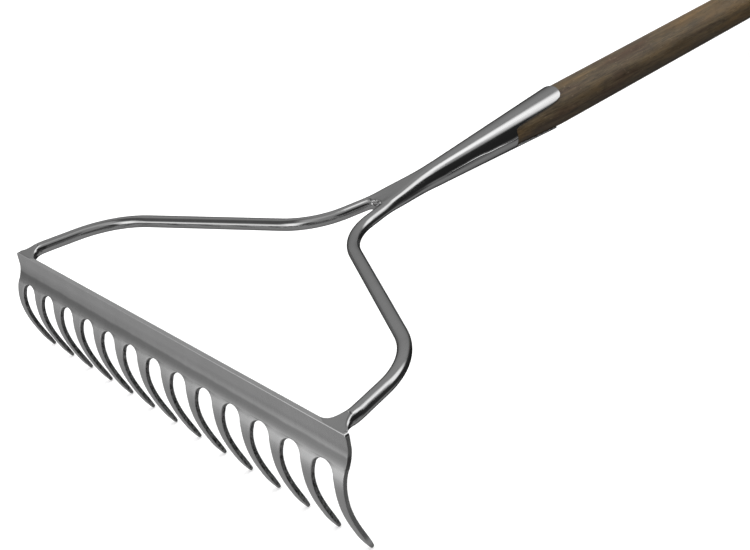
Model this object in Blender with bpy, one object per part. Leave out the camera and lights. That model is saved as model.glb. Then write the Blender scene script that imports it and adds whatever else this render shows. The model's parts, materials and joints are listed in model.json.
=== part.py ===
"""Bow rake: a stamped bar of tines on two bent rods, a neck and strapped socket, and an ash shaft.

Everything is built in the tool's own frame, in metres: +Y runs along the shaft from the head to
the user, +X across the head, +Z up, with the shaft's axis on the Y axis and Y = 0 at the front
face of the tine bar. The empty tool_frame then lays the tool down, so that the tine tips and the
shaft's far end both touch Z = 0, with the middle of its box over the origin.
"""
import math

import bmesh
import bpy
from mathutils import Vector
from mathutils.geometry import interpolate_bezier

MM = 0.001
GAP = 0.3 * MM               # clearance between neighbouring solids

# Tine bar
HEAD_WIDTH = 353 * MM
TINE_COUNT = 14
TINE_PITCH = 26.65 * MM
PLATE = 3.1 * MM             # thickness of the bar and its tines
BAR_DROP = 1.4 * MM          # top edge of the bar below the shaft's axis
WEB_HEIGHT = 20.0 * MM       # solid web above the gaps, measured along the plate
ARCH_DEPTH = 6.4 * MM        # depth of the rounded root of a gap
ARCH_HALF = 8.4 * MM         # half the width of a gap just below its rounded root
TIP_HALF = 3.05 * MM         # half the width of a tine near its tip
TIP_TAPER = 12.0 * MM        # length over which a tine narrows to its tip
TIP_END = 0.38               # width left at the very tip, as a share of the tine's
TIP_RECESS = 1.2 * MM        # how far the front face falls back at the very tip
TINE_FLARE = 8               # how fast a tine narrows below its root

# Front face of the plate in section, as Bezier knots (Y, Z) with their two handles
SECTION = [
    (Vector((-0.4, -8.5)), Vector((-0.5, -11.5)), Vector((-2.4, -16.1)), Vector((-4.1, -18.5))),
    (Vector((-4.1, -18.5)), Vector((-7.2, -22.5)), Vector((-8.8, -29.4)), Vector((-8.8, -36.2))),
    (Vector((-8.8, -36.2)), Vector((-8.8, -49.8)), Vector((-3.0, -62.4)), Vector((1.7, -76.2))),
]
SECTION_STEPS = 24

# Bow: two mirrored rods, each bent at its shoulder and again at the neck
ROD_RADIUS = 4.2 * MM
BOW_DROP = 2.2 * MM          # the rods' middle below the shaft's axis
BOW_CORNERS = [(166.9, 3.3), (166.9, 14.5), (155.3, 66.9), (16.6, 137.3), (9.7, 170.4)]
BOW_RADII = [30.0, 60.0, 50.0]
FOOT_LENGTH = 12.0 * MM      # stretch where the rod is spread flat to meet the bar
FOOT_HALF_WIDTH = 7.3 * MM
FOOT_HALF_HEIGHT = 2.9 * MM
FOOT_OUTSET = 0.6 * MM
FOOT_DROP = 0.6 * MM
ROD_SIDES = 16

# Neck: stations (Y, half width, half height, squareness) in millimetres
NECK = [
    (170.7, 14.2, 4.25, 5.0),
    (178.6, 13.2, 4.6, 4.2),
    (186.0, 12.2, 5.0, 3.7),
    (193.0, 11.2, 5.4, 3.3),
    (200.0, 10.2, 5.9, 2.9),
    (208.0, 9.3, 6.6, 2.5),
    (216.0, 8.6, 7.3, 2.2),
    (224.0, 8.4, 7.9, 2.1),
    (231.7, 8.5, 8.3, 2.0),
]
TANG_RADIUS = 5.6 * MM
TANG_LENGTH = 12.0 * MM
NECK_SIDES = 24

# Socket: two half shells, each with a tongue, round the tapered end of the shaft
SOCKET_START = 232 * MM
SOCKET_END = 355 * MM
SOCKET_R_START = 8.5 * MM
SOCKET_R_END = 15.4 * MM
WALL_START = 2.0 * MM
WALL_END = 1.0 * MM
SHELL_END = 302.4 * MM       # where the shells end and the tongues go on
LOWER_TONGUE_END = 345 * MM
UPPER_EDGE = [(0, 302.4), (14, 302.4), (24, 302.9), (28, 305.5), (31, 311.0), (33, 322.0), (35, 336.5),
              (38, 344.8), (43, 349.6), (52, 352.6), (64, 354.1), (77, 354.8), (90, 355.0)]
LOWER_EDGE = [(0, 302.4), (14, 302.4), (28, 302.4), (38, 302.8), (41, 304.5), (43, 309.0), (44, 324.0),
              (45, 342.5), (47, 344.5), (56, 345.0), (68, 345.0), (79, 345.0), (90, 345.0)]
SHELL_ROWS = 10

# Shaft
SHAFT_RADIUS = 14.25 * MM
SHAFT_START = 245.5 * MM
SHAFT_END = 1680 * MM
FULL_ROUND = 358 * MM        # where the taper under the straps ends
SHAFT_DOME = 8 * MM
SHAFT_SIDES = 32

# Screws through the lower strap
SCREW_PLACES = [284 * MM, 328 * MM]
SCREW_HEAD_RADIUS = 4.0 * MM
SCREW_HEAD_HEIGHT = 2.4 * MM
SCREW_SHANK_RADIUS = 2.0 * MM
SCREW_LENGTH = 17 * MM
SCREW_SIDES = 16

STEEL = (0.62, 0.62, 0.61, 1.0)
DARK_STEEL = (0.45, 0.45, 0.45, 1.0)
STAINED_ASH = (0.085, 0.055, 0.035, 1.0)


def clear_scene():
    for obj in list(bpy.data.objects):
        bpy.data.objects.remove(obj, do_unlink=True)


def make_material(name, colour, metallic, roughness):
    material = bpy.data.materials.new(name)
    material.use_nodes = True
    shader = material.node_tree.nodes["Principled BSDF"]
    shader.inputs["Base Color"].default_value = colour
    shader.inputs["Metallic"].default_value = metallic
    shader.inputs["Roughness"].default_value = roughness
    return material


def add_object(name, bm, material, tool):
    """Turn a closed bmesh into a named object that hangs on the tool's frame."""
    bmesh.ops.recalc_face_normals(bm, faces=bm.faces)
    mesh = bpy.data.meshes.new(name)
    bm.to_mesh(mesh)
    bm.free()
    mesh.shade_smooth()
    mesh.set_sharp_from_angle(angle=math.radians(35))
    obj = bpy.data.objects.new(name, mesh)
    obj.data.materials.append(material)
    obj.parent = tool
    bpy.context.scene.collection.objects.link(obj)
    return obj


def loft(bm, rings):
    """Skin a list of rings, each a list of points of the same length, and cap both ends."""
    made = []
    for ring in rings:
        made.append([bm.verts.new(point) for point in ring])
    for low, high in zip(made, made[1:]):
        for k in range(len(low)):
            after = (k + 1) % len(low)
            bm.faces.new((low[k], low[after], high[after], high[k]))
    bm.faces.new(made[0][::-1])
    bm.faces.new(made[-1])


def blend(low, high, share):
    return low + (high - low) * share


def smooth_step(share):
    share = min(max(share, 0.0), 1.0)
    return share * share * (3 - 2 * share)


# ---------------------------------------------------------------- tine bar

def section_curve():
    """Points of the plate's front face from its top edge to a tine's tip, with their distances."""
    points = [Vector((0.0, 0.0))]
    for start, handle_a, handle_b, end in SECTION:
        made = interpolate_bezier(start, handle_a, handle_b, end, SECTION_STEPS)
        points += [Vector(point[:2]) for point in made if (Vector(point[:2]) - points[-1]).length > 1e-6]
    points = [point * MM for point in points]
    distances = [0.0]
    for before, point in zip(points, points[1:]):
        distances.append(distances[-1] + (point - before).length)
    return points, distances


def section_at(curve, distance):
    """The front face's point at this distance down the plate, and the direction through the plate."""
    points, distances = curve
    k = 1
    while k < len(points) - 1 and distances[k] < distance:
        k += 1
    share = (distance - distances[k - 1]) / (distances[k] - distances[k - 1])
    point = points[k - 1].lerp(points[k], share)
    along = (points[k] - points[k - 1]).normalized()
    return point, Vector((-along.y, along.x))


def tip_share(distance, length):
    """0 above a tine's tapered tip, growing to 1 at its very end."""
    return max(0.0, 1 - (length - distance) / TIP_TAPER) ** 2


def tine_half_width(distance, length):
    """Half the width of the metal about a tine's middle: half a pitch in the web above the gaps."""
    depth = distance - WEB_HEIGHT
    if depth <= 0:
        return TINE_PITCH / 2
    if depth < ARCH_DEPTH:
        return TINE_PITCH / 2 - ARCH_HALF * math.sqrt(1 - (1 - depth / ARCH_DEPTH) ** 2)
    share = (depth - ARCH_DEPTH) / (length - WEB_HEIGHT - ARCH_DEPTH)
    root = TINE_PITCH / 2 - ARCH_HALF
    width = TIP_HALF + (root - TIP_HALF) * (1 - share) ** TINE_FLARE
    return width * (1 - (1 - TIP_END) * tip_share(distance, length))


def plate_rows(length):
    """Distances down the plate at which the bar and its tines get a row of points."""
    flat = SECTION[0][0].length * MM
    rows = [0.0, flat, 10.5 * MM, 13 * MM, 16 * MM, 18.5 * MM, WEB_HEIGHT]
    rows += [WEB_HEIGHT + ARCH_DEPTH * share for share in (0.03, 0.12, 0.28, 0.5, 0.75, 1.0)]
    steps = 7
    bottom = length - TIP_TAPER
    rows += [blend(rows[-1], bottom, (k + 1) / steps) for k in range(steps)]
    rows += [length - TIP_TAPER * share for share in (0.7, 0.4, 0.15, 0.0)]
    return rows


def build_tine_bar(material, tool):
    """One plate: a solid web with fourteen tines, bent to its section."""
    bm = bmesh.new()
    curve = section_curve()
    length = curve[1][-1]
    rows = plate_rows(length)
    columns = 4
    end_margin = (HEAD_WIDTH - (TINE_COUNT - 1) * TINE_PITCH) / 2
    for tine in range(TINE_COUNT):
        middle = (tine - (TINE_COUNT - 1) / 2) * TINE_PITCH
        first, last = tine == 0, tine == TINE_COUNT - 1
        front, back = [], []
        for distance in rows:
            half = tine_half_width(distance, length)
            left = min(half, end_margin) if first else half
            right = min(half, end_margin) if last else half
            point, through = section_at(curve, distance)
            xs = [blend(middle - left, middle + right, k / columns) for k in range(columns + 1)]
            face = point + through * TIP_RECESS * tip_share(distance, length)
            rear = point + through * PLATE
            front.append([bm.verts.new((x, face.x, face.y - BAR_DROP)) for x in xs])
            back.append([bm.verts.new((x, rear.x, rear.y - BAR_DROP)) for x in xs])
        for row in range(len(rows) - 1):
            for k in range(columns):
                bm.faces.new((front[row][k], front[row][k + 1], front[row + 1][k + 1], front[row + 1][k]))
                bm.faces.new((back[row][k + 1], back[row][k], back[row + 1][k], back[row + 1][k + 1]))
            free = rows[row] >= WEB_HEIGHT - 1e-9
            for side, wanted in ((0, first or free), (columns, last or free)):
                if wanted:
                    near, far = front[row][side], front[row + 1][side]
                    bm.faces.new((near, far, back[row + 1][side], back[row][side]))
        for k in range(columns):
            bm.faces.new((front[0][k], back[0][k], back[0][k + 1], front[0][k + 1]))
            bm.faces.new((front[-1][k + 1], back[-1][k + 1], back[-1][k], front[-1][k]))
    bmesh.ops.remove_doubles(bm, verts=bm.verts, dist=1e-6)
    return add_object("tine_bar", bm, material, tool)


# ---------------------------------------------------------------- bow

def rounded_path(corners, radii, step=math.radians(6)):
    """Points of a path through the corners, with each inner corner turned into an arc."""
    points = [corners[0]]
    for before, corner, after, radius in zip(corners, corners[1:], corners[2:], radii):
        back = (before - corner).normalized()
        on = (after - corner).normalized()
        turn = math.pi - back.angle(on)
        reach = radius * math.tan(turn / 2)
        centre = corner + (back + on).normalized() * (radius / math.cos(turn / 2))
        start = corner + back * reach
        sign = 1 if back.x * on.y - back.y * on.x < 0 else -1
        count = max(2, math.ceil(turn / step))
        spoke = start - centre
        for k in range(count + 1):
            angle = sign * turn * k / count
            turned = Vector((spoke.x * math.cos(angle) - spoke.y * math.sin(angle),
                             spoke.x * math.sin(angle) + spoke.y * math.cos(angle)))
            points.append(centre + turned)
    points.append(corners[-1])
    return points


def bow_path():
    """The right rod's centre line from the bar to the neck, with extra points along its foot."""
    corners = [Vector(corner) * MM for corner in BOW_CORNERS]
    points = rounded_path(corners, [radius * MM for radius in BOW_RADII])
    steps = 5
    foot = [points[0] + Vector((0, FOOT_LENGTH * 0.55 * k / steps)) for k in range(steps)]
    return foot + [point for point in points if point.y > foot[-1].y + 1 * MM]


def rod_ring(point, along, side, spread):
    """One ring of the rod: round where spread is 0, and wide and flat where it is 1."""
    across = Vector((along.y, -along.x))
    half_width = blend(ROD_RADIUS, FOOT_HALF_WIDTH, spread)
    half_height = blend(ROD_RADIUS, FOOT_HALF_HEIGHT, spread)
    ring = []
    for k in range(ROD_SIDES):
        angle = 2 * math.pi * k / ROD_SIDES
        out = half_width * math.cos(angle) + FOOT_OUTSET * spread
        place = point + across * out
        height = half_height * math.sin(angle) - FOOT_DROP * spread - BOW_DROP
        ring.append(Vector((side * place.x, place.y, height)))
    return ring


def build_bow_arm(name, side, material, tool):
    """One rod of the bow; side is +1 for the right arm and -1 for the left one."""
    path = bow_path()
    rings = []
    for k, point in enumerate(path):
        before = path[max(k - 1, 0)]
        after = path[min(k + 1, len(path) - 1)]
        along = (after - before).normalized()
        if k in (0, len(path) - 1):
            along = Vector((0, 1))
        spread = 1 - smooth_step((point.y - path[0].y) / FOOT_LENGTH)
        rings.append(rod_ring(point, along, side, spread))
    bm = bmesh.new()
    loft(bm, rings)
    return add_object(name, bm, material, tool)


# ---------------------------------------------------------------- neck

def socket_centre(y):
    """Height of the socket's middle: it starts level with the bow and ends on the shaft's axis."""
    share = (y - SOCKET_START) / (SOCKET_END - SOCKET_START)
    return -BOW_DROP * (1 - min(max(share, 0.0), 1.0))


def squared_ring(y, half_width, half_height, squareness, height):
    ring = []
    for k in range(NECK_SIDES):
        angle = 2 * math.pi * k / NECK_SIDES
        c, s = math.cos(angle), math.sin(angle)
        x = half_width * math.copysign(abs(c) ** (2 / squareness), c)
        z = half_height * math.copysign(abs(s) ** (2 / squareness), s)
        ring.append(Vector((x, y, z + height)))
    return ring


def build_neck(material, tool):
    """The flat-topped forging between the bow and the socket, with its tang inside the socket."""
    bm = bmesh.new()
    rings = []
    for y, half_width, half_height, squareness in NECK:
        rings.append(squared_ring(y * MM, half_width * MM, half_height * MM, squareness, -BOW_DROP))
    shoulder = NECK[-1][0] * MM
    for y, radius in ((shoulder, TANG_RADIUS), (shoulder + TANG_LENGTH, TANG_RADIUS * 0.9)):
        rings.append(squared_ring(y, radius, radius, 2.0, -BOW_DROP))
    loft(bm, rings)
    return add_object("neck", bm, material, tool)


# ---------------------------------------------------------------- socket

def socket_radius(y):
    share = (y - SOCKET_START) / (SOCKET_END - SOCKET_START)
    return blend(SOCKET_R_START, SOCKET_R_END, share)


def socket_wall(y):
    share = (y - SOCKET_START) / (SOCKET_END - SOCKET_START)
    return blend(WALL_START, WALL_END, share)


def build_strap(name, edge, up, material, tool):
    """A half shell with its tongue; edge lists (angle from the seam, where the metal ends)."""
    columns = edge + [(180 - angle, end) for angle, end in edge[-2::-1]]
    bm = bmesh.new()
    outer, inner = [], []
    for degrees, end in columns:
        angle = math.radians(degrees)
        outer_column, inner_column = [], []
        for row in range(SHELL_ROWS + 1):
            y = blend(SOCKET_START, end * MM, row / SHELL_ROWS)
            outside = socket_radius(y)
            for column, radius in ((outer_column, outside), (inner_column, outside - socket_wall(y))):
                height = radius * math.sin(angle) + GAP / 2
                column.append(bm.verts.new((radius * math.cos(angle), y, up * height + socket_centre(y))))
        outer.append(outer_column)
        inner.append(inner_column)
    for k in range(len(columns) - 1):
        for row in range(SHELL_ROWS):
            bm.faces.new((outer[k][row], outer[k + 1][row], outer[k + 1][row + 1], outer[k][row + 1]))
            bm.faces.new((inner[k + 1][row], inner[k][row], inner[k][row + 1], inner[k + 1][row + 1]))
        for row in (0, -1):
            bm.faces.new((outer[k][row], inner[k][row], inner[k + 1][row], outer[k + 1][row]))
    for k in (0, -1):
        for row in range(SHELL_ROWS):
            bm.faces.new((outer[k][row], outer[k][row + 1], inner[k][row + 1], inner[k][row]))
    return add_object(name, bm, material, tool)


# ---------------------------------------------------------------- shaft

def round_ring(y, radius, height, sides):
    return [Vector((radius * math.cos(2 * math.pi * k / sides), y,
                    radius * math.sin(2 * math.pi * k / sides) + height)) for k in range(sides)]


def build_shaft(material, tool):
    """A round ash shaft, tapered where the socket holds it and domed at its far end."""
    bm = bmesh.new()
    rings = []
    clearance = GAP + 0.1 * MM
    for y in (SHAFT_START, SHELL_END, LOWER_TONGUE_END):
        radius = socket_radius(y) - socket_wall(y) - clearance
        rings.append(round_ring(y, radius, socket_centre(y), SHAFT_SIDES))
    rings.append(round_ring(FULL_ROUND, SHAFT_RADIUS, 0.0, SHAFT_SIDES))
    for degrees in (0, 25, 45, 65, 80):
        angle = math.radians(degrees)
        y = SHAFT_END - SHAFT_DOME * (1 - math.sin(angle))
        rings.append(round_ring(y, SHAFT_RADIUS * math.cos(angle), 0.0, SHAFT_SIDES))
    loft(bm, rings)
    return add_object("shaft", bm, material, tool)


# ---------------------------------------------------------------- screws

def screw_rings(y, clearance):
    """Rings of a countersunk wood screw that points up, or of its hole when there is clearance."""
    low = socket_centre(y) - socket_radius(y) - GAP / 2
    start = -0.2 * MM if clearance == 0 else 2 * MM
    head = SCREW_HEAD_RADIUS + clearance
    shank = SCREW_SHANK_RADIUS + clearance
    levels = [
        (-start, head),
        (0.35 * MM, head),
        (SCREW_HEAD_HEIGHT, shank),
        (SCREW_LENGTH - 4 * MM, shank),
        (SCREW_LENGTH + clearance, shank * 0.25),
    ]
    rings = []
    for height, radius in levels:
        rings.append([Vector((radius * math.cos(2 * math.pi * k / SCREW_SIDES),
                              y - radius * math.sin(2 * math.pi * k / SCREW_SIDES),
                              low + height)) for k in range(SCREW_SIDES)])
    return rings


def build_screw(name, y, material, tool):
    bm = bmesh.new()
    loft(bm, screw_rings(y, 0))
    return add_object(name, bm, material, tool)


def cut_screw_hole(name, y, pieces, material, tool):
    """Cut the screw's clearance hole from each of these pieces."""
    bm = bmesh.new()
    loft(bm, screw_rings(y, GAP))
    cutter = add_object(name, bm, material, tool)
    cutter.hide_render = True
    cutter.display_type = "WIRE"
    for piece in pieces:
        modifier = piece.modifiers.new(name, "BOOLEAN")
        modifier.operation = "DIFFERENCE"
        modifier.object = cutter


# ---------------------------------------------------------------- laying the tool down

def settle(tool, head, shaft):
    """Tilt the tool until its tine tips and its shaft both touch Z = 0, and centre its box."""
    def lowest(obj):
        return min((obj.matrix_world @ vertex.co).z for vertex in obj.data.vertices)

    reach = SHAFT_END
    for _ in range(6):
        bpy.context.view_layer.update()
        tool.rotation_euler.x -= (lowest(shaft) - lowest(head)) / reach
    bpy.context.view_layer.update()
    corners = []
    for obj in tool.children:
        if not obj.hide_render:
            corners += [obj.matrix_world @ vertex.co for vertex in obj.data.vertices]
    tool.location.x -= (min(c.x for c in corners) + max(c.x for c in corners)) / 2
    tool.location.y -= (min(c.y for c in corners) + max(c.y for c in corners)) / 2
    tool.location.z -= min(c.z for c in corners)


def main():
    clear_scene()
    tool = bpy.data.objects.new("tool_frame", None)
    bpy.context.scene.collection.objects.link(tool)
    plate_steel = make_material("stamped_steel", STEEL, 1.0, 0.32)
    polished_steel = make_material("polished_steel", STEEL, 1.0, 0.16)
    screw_steel = make_material("screw_steel", DARK_STEEL, 1.0, 0.3)
    ash = make_material("stained_ash", STAINED_ASH, 0.0, 0.5)
    head = build_tine_bar(plate_steel, tool)
    build_bow_arm("bow_arm_right", 1, polished_steel, tool)
    build_bow_arm("bow_arm_left", -1, polished_steel, tool)
    build_neck(polished_steel, tool)
    build_strap("socket_upper_strap", UPPER_EDGE, 1, polished_steel, tool)
    lower_strap = build_strap("socket_lower_strap", LOWER_EDGE, -1, polished_steel, tool)
    shaft = build_shaft(ash, tool)
    for label, place in zip(("front", "rear"), SCREW_PLACES):
        build_screw(f"strap_screw_{label}", place, screw_steel, tool)
        cut_screw_hole(f"screw_hole_{label}", place, (lower_strap, shaft), screw_steel, tool)
    settle(tool, head, shaft)


main()
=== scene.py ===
"""Looks of the bow rake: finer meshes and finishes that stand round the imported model.

Shapes are worked out in millimetres in the tool's own frame: +Y along the shaft from the head to
the user, +X across the head, +Z up, with Y = 0 at the front of the tine bar and the shaft's axis on
the Y axis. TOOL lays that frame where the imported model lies.
"""

import json
import math

import bmesh
import bpy
import numpy as np
from mathutils import Matrix, Vector
from mathutils.geometry import interpolate_bezier


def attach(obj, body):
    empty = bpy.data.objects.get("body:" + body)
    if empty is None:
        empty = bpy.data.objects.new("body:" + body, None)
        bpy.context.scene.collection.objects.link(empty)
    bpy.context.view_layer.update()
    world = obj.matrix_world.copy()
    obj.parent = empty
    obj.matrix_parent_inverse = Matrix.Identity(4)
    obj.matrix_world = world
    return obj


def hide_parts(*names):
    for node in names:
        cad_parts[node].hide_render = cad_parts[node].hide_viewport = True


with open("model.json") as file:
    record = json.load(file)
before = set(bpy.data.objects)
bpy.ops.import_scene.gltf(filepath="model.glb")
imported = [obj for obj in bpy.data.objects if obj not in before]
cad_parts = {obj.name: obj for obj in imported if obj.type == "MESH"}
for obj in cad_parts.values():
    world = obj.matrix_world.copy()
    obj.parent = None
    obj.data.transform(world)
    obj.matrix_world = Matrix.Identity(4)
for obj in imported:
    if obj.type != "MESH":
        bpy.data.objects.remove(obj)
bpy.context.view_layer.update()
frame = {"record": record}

MM = 0.001

# Tine bar
HEAD_WIDTH = 353.0
TINE_COUNT = 14
TINE_PITCH = 26.65
PLATE = 3.1                  # thickness
BAR_DROP = 1.4               # top edge of the bar below the shaft's axis
WEB_HEIGHT = 20.0            # solid web above the gaps, measured down the plate
ARCH_DEPTH = 6.4             # depth of the rounded root of a gap
ARCH_HALF = 8.4              # half the width of a gap just below its rounded root
TIP_HALF = 3.05              # half the width of a tine near its tip
TIP_TAPER = 12.0             # length over which a tine narrows to its tip
TIP_END = 0.38               # width left at the very tip, as a share of the tine's
TIP_RECESS = 1.2             # how far the front face falls back at the very tip
TINE_FLARE = 8               # how fast a tine narrows below its root
NOSE = 1.8                   # length of a tine's rounded end
CORNER = 1.6                 # radius of the bar's two upper corners
EDGE = 0.5                   # radius of the plate's worn edges
TIP_EDGE = 0.85              # the same at a tine's tip
QUARTER_ROUND = (0, 22.5, 45, 67.5, 90)     # degrees at which a rounded edge has a row of vertices

# Front face of the plate in section, below its flat band: Bezier spans of four points (Y, Z)
SECTION = [
    ((-0.4, -8.5), (-0.5, -11.5), (-2.4, -16.1), (-4.1, -18.5)),
    ((-4.1, -18.5), (-7.2, -22.5), (-8.75, -29.4), (-8.75, -36.2)),
    ((-8.75, -36.2), (-8.75, -49.8), (-3.0, -62.4), (1.7, -76.2)),
]

SECTION_STEPS = 120

# Bow: corners of the right rod's centre line in plan (X, Y), and the radius of its bends
ROD_RADIUS = 4.2
BOW_DROP = 2.2               # the rods' middle below the shaft's axis
BOW_CORNERS = [(166.9, 3.3), (166.9, 14.5), (155.3, 66.9), (16.6, 137.3), (2.5, 206.0)]
BOW_RADII = [30.0, 60.0, 50.0]
ROD_SIDES = 48
ROD_START = 5.0              # where a rod's own skin begins, inside its foot
ROD_TAIL = 0.45              # share of a rod's last straight that is left inside the neck

# Feet, each given for the right rod
FOOT_ROOT = ((140.0, 0.3, -6.4), (176.1, 3.0, -1.5))   # block that the rod spreads into, behind the bar
FOOT_ROOT_EDGE = 0.5
FOOT_FILLETS = (10.5, 9.0)   # reach of the fillet between rod and root, inside the bow and outside it
FOOT_FILLET_AT = (165.5, 168.5)      # X over which the one passes into the other
FOOT_SIDE = 176.2
FOOT_TOP = -1.38             # height of the top, ground flush with the bar
FOOT_TOP_START = 1.5         # where the top begins to rise off the bar
FOOT_TOP_SLOPE = 0.33
FOOT_FRONT = 0.3
FOOT_TAIL = 33.0
FOOT_PROUD = (0.03, -0.06)   # how far its skin stands off the rod's, near the bar and further back
FOOT_SINKS_AT = (16.0, 32.0)         # Y over which it sinks into the rod
UNDERCUT = (0.559, -0.829, 99.4)     # the plane X, Z, distance that trims a foot's outer underside
FOOT_STEP = 0.42             # spacing of the lattice that a foot's skin is worked out on

# Neck: stations (Y, half width, half height, corner radius)
NECK = [
    (168.0, 14.2, 4.2, 4.2),
    (176.0, 13.2, 4.3, 4.25),
    (184.0, 12.1, 4.65, 4.6),
    (192.0, 11.05, 5.2, 5.1),
    (200.0, 10.1, 5.9, 5.7),
    (208.0, 9.2, 6.6, 6.4),
    (216.0, 8.55, 7.25, 7.1),
    (224.0, 8.35, 7.85, 7.7),
    (232.0, 8.55, 8.53, 8.45),
    (240.0, 8.87, 8.87, 8.8),
    (248.0, 9.2, 9.2, 9.1),
]
NECK_START = 149.5
NECK_END = 240.0
NECK_PROUD = (0.04, -0.08)   # how far its skin stands off the rods', at the crotch and further forward
NECK_SINKS_AT = (158.0, 150.0)       # Y over which it sinks into the rods
NECK_STEP = 0.55
WEB = ((-8.0, 178.0, -6.25), (8.0, NECK_END, 1.85))    # flat web between the two rods
WEB_EDGE = 1.2
WEB_FILLET = 2.0
MERGE = (171.0, 195.0)       # Y over which the rods' shape passes into the neck's

# Bead of weld in the crotch: an arc in plan, thinner towards both ends
WELD_CENTRE = (1.6, 175.2, 1.35)
WELD_ARC = 4.1
WELD_FLATTENING = 0.85       # length of the arc's shape along Y, as a share of its width
WELD_BEAD = 1.45
WELD_TURN = (-25, 178)       # degrees round the arc
WELD_FADE = (60, 50)         # degrees over which each end grows to full thickness
WELD_END = 20                # degrees of that growth that its blunt ends leave out

# Socket
SOCKET_START = 232.0
SOCKET_END = 355.0
SOCKET_R_START = 8.5
SOCKET_R_END = 15.4
WALL_START = 2.0
WALL_END = 1.0
SHELL_END = 302.4            # where the shells end and the tongues go on

# Each strap's far edge from the seam to its middle, as (degrees round, Y)
UPPER_EDGE = [(0, 302.4), (14, 302.4), (24, 302.9), (28, 305.5), (31, 311.0), (33, 322.0), (35, 336.5),
              (38, 344.8), (43, 349.6), (52, 352.6), (64, 354.1), (77, 354.8), (90, 355.0)]
LOWER_EDGE = [(0, 302.4), (14, 302.4), (28, 302.4), (38, 302.8), (41, 304.5), (43, 309.0), (44, 324.0),
              (45, 342.5), (47, 344.5), (56, 345.0), (68, 345.0), (79, 345.0), (90, 345.0)]

# Degrees by which the seam stands above the socket's middle, as (Y, degrees)
SEAM = [(232, 3.0), (247, 5.4), (266, 7.4), (270, 6.2), (274, 3.2), (285, 1.5), (291, -0.8), (295, -2.3),
        (303, -0.3)]
SEAM_GAP = 0.35              # degrees between each strap and the seam
SHELL_EDGE = 0.4
PAINTED_SHADOW_SIDE = 0.5               # width of the tongue's edge painted dark, a painted shadow against the wood
SEAM_BEVEL = 0.9             # width of the lower strap's bevel along the seam
SEAM_BEVEL_SLOPE = math.tan(math.radians(45))

# Shaft
SHAFT_RADIUS = 14.25
SHAFT_START = 245.5
SHAFT_END = 1679.9
FULL_ROUND = 356.0           # where the taper under the straps ends
SHAFT_DOME = 8.0
SHAFT_SIDES = 96
SHAFT_CLEARANCE = 0.05       # between the wood and the straps

# Screws
SCREW_PLACES = {"front": 284.0, "rear": 328.0}
SCREW_HEAD_RADIUS = 4.0
RECESS_ARM = 2.3             # length of one arm of the cross recess
RECESS_HALF = 0.42           # half the width of an arm
RECESS_DEPTH = 1.1

# Tone of the formed plate, as (height, grey): dark tips, a painted highlight on the roots and painted shade
# in the valley above them
PLATE_TONE_AND_PAINTED_LIGHT = [(-78.0, 0.25), (-74.5, 0.5), (-71.0, 0.85), (-60.0, 0.88), (-40.0, 0.9), (-33.0, 0.94),
               (-30.0, 1.0), (-22.0, 1.0), (-20.5, 0.6), (-19.0, 0.52), (-17.0, 0.43), (-15.2, 0.43),
               (-14.0, 0.72), (-11.0, 0.88), (-8.0, 1.0), (-1.0, 1.0)]

PAINTED_LIGHT_WANDER = 0.4            # how far those bands of tone stray up and down
ROD_EDGE_TINT = 0.2          # how much the polished steel reflects at a glancing angle

# Stained ash
WOOD_DARK = (0.046, 0.034, 0.021)
WOOD_BODY = (0.090, 0.068, 0.041)
WOOD_LIGHT = (0.160, 0.118, 0.066)
WOOD_WARM = (0.165, 0.100, 0.040, 1.0)
WOOD_RED = (0.070, 0.038, 0.024, 1.0)
WOOD_FLECK = (0.24, 0.18, 0.12, 1.0)

# Studio: soft panels (azimuth from +X, elevation, half width, half height, edge softness, brightness),
# each laid over the ones before it
STUDIO_GREY = 0.28
STUDIO_PANELS = [
    (338, 62, 60, 24, 3, 0.47),
    (62, 32, 20, 30, 8, 1.25),
    (76, 60, 8, 10, 8, 1.5),
    (7, 47, 30, 13, 3, 0.29),
    (290, 20, 14, 20, 8, 1.3),
    (266, 7, 11, 16, 10, 1.1),
    (309, 14, 9, 13, 9, 0.0),
    (25, 8, 30, 30, 5, 0.02),
    (80, -17, 32, 22, 8, 0.03),
    (118, -42, 22, 12, 6, 0.04),
    (331, -7, 20, 20, 3, 0.14),
    (217, 35, 40, 42, 4, 0.10),
    (155, 31, 55, 31, 9, 0.33),
    (208, -2, 14, 14, 8, 0.26),
    (232, 1, 12, 16, 10, 0.68),
    (226, 24, 11, 12, 8, 1.1),
    (27, -36, 9, 9, 5, 0.05),
    (146, -10, 20, 12, 8, 0.19),
    (147, -28, 16, 10, 6, 0.08),
]
KEY_ENERGY = 3.1
KEY_SPREAD = 120             # degrees of sky that the light comes from
KEY_FROM = (0.1, -0.1, 1.0)
FLOOR_SIZE = 9.0             # metres
FLOOR_GLOW = 0.2             # lifts the floor to the white of the backdrop

# View, in the tool's own frame: its place, and the directions of the picture's right and down
CAMERA_PLACE = (593.23, -268.47, 351.2)
CAMERA_RIGHT = (0.65406, 0.73704, -0.17025)
CAMERA_DOWN = (0.26389, -0.43325, -0.86178)
CAMERA_LENS = 59.871


def tool_matrix():
    """Where the tool's own frame lies, from the mount on the middle of the bar's top edge."""
    mount = next(m for m in frame["record"]["mounts"] if m["name"] == "levelling_edge")
    down = Vector(SECTION[0][0]).normalized()
    up = Vector((0, -down.x, -down.y))
    through = Vector((0, -down.y, down.x))
    axis = mount["axis"]
    turn = math.atan2(up.y, up.z) - math.atan2(axis[1], axis[2])
    rotation = Matrix.Rotation(turn, 4, "X")
    middle = through * (PLATE / 2) - Vector((0, 0, BAR_DROP))
    return Matrix.Translation(Vector(mount["pos_m"]) - rotation @ (middle * MM)) @ rotation


TOOL = tool_matrix()


# ---------------------------------------------------------------- helpers

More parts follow.
